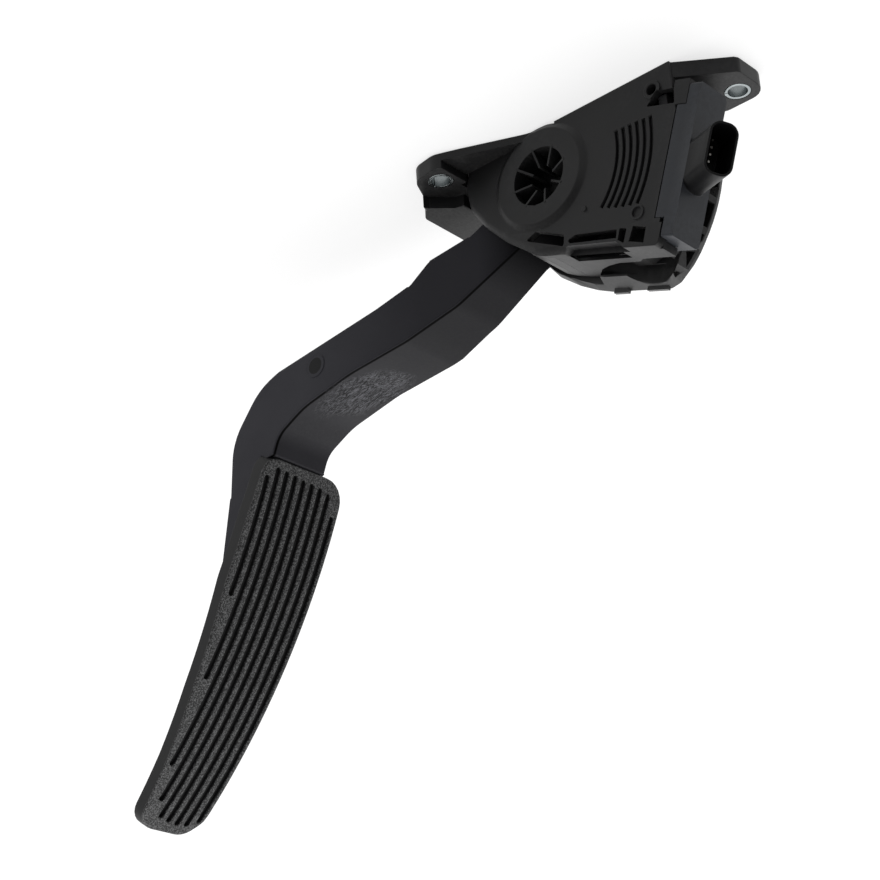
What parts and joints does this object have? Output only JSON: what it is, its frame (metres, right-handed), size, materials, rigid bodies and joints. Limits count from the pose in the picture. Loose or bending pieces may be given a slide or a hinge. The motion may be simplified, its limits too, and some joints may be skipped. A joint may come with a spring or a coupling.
{
  "type": "accelerator pedal",
  "caption": "Electronic accelerator pedal module with hanging arm, grooved pad, moulded housing and position sensor with connector.",
  "frame": {"origin": "on the mounting face straight below the pivot axis, midway between the housing's side walls", "axes": "+Z out of the mounting face towards the driver, +Y towards the arm and pad, +X towards the side with the ring and the cooling grooves"},
  "size_m": [0.0581, 0.3114, 0.1945],
  "materials": {
    "housing_plastic": "fine grain",
    "arm_plastic": "satin",
    "pad_rubber": "grained",
    "sensor_plastic": "satin",
    "shoe_plastic": "smooth",
    "seat_plastic": "smooth",
    "zinc_steel": "zinc plated",
    "spring_steel": "phosphated",
    "terminal_tin": "tin plated",
    "magnet_grey": "coated",
    "board_green": "solder resist",
    "chip_black": "moulded"
  },
  "bodies": {
    "housing": {"housing": "housing_plastic", "far_cover": "housing_plastic", "sleeve_left": "zinc_steel", "sleeve_right": "zinc_steel", "return_spring_outer": "spring_steel", "return_spring_inner": "spring_steel", "friction_shoe": "shoe_plastic", "idle_bumper": "pad_rubber", "sensor_housing": "sensor_plastic", "sensor_lid": "sensor_plastic", "circuit_board": "board_green", "sensor_chip_a": "chip_black", "sensor_chip_b": "chip_black", "terminal_1": "terminal_tin", "terminal_2": "terminal_tin", "terminal_3": "terminal_tin", "terminal_4": "terminal_tin", "terminal_5": "terminal_tin", "terminal_6": "terminal_tin"},
    "pedal": {"pedal_arm": "arm_plastic", "pedal_pad": "pad_rubber", "spring_seat": "seat_plastic", "sensor_magnet": "magnet_grey"}
  },
  "joints": [
    {"name": "pedal_pivot", "type": "hinge", "parent": "housing", "child": "pedal", "pos_m": [0, 0, 0.0195], "axis": [-1, 0, 0], "range_deg": [0, 15], "stiffness_Nm_per_rad": 13, "springref_deg": -17.19, "deforming": ["return_spring_outer", "return_spring_inner"]}
  ]
}
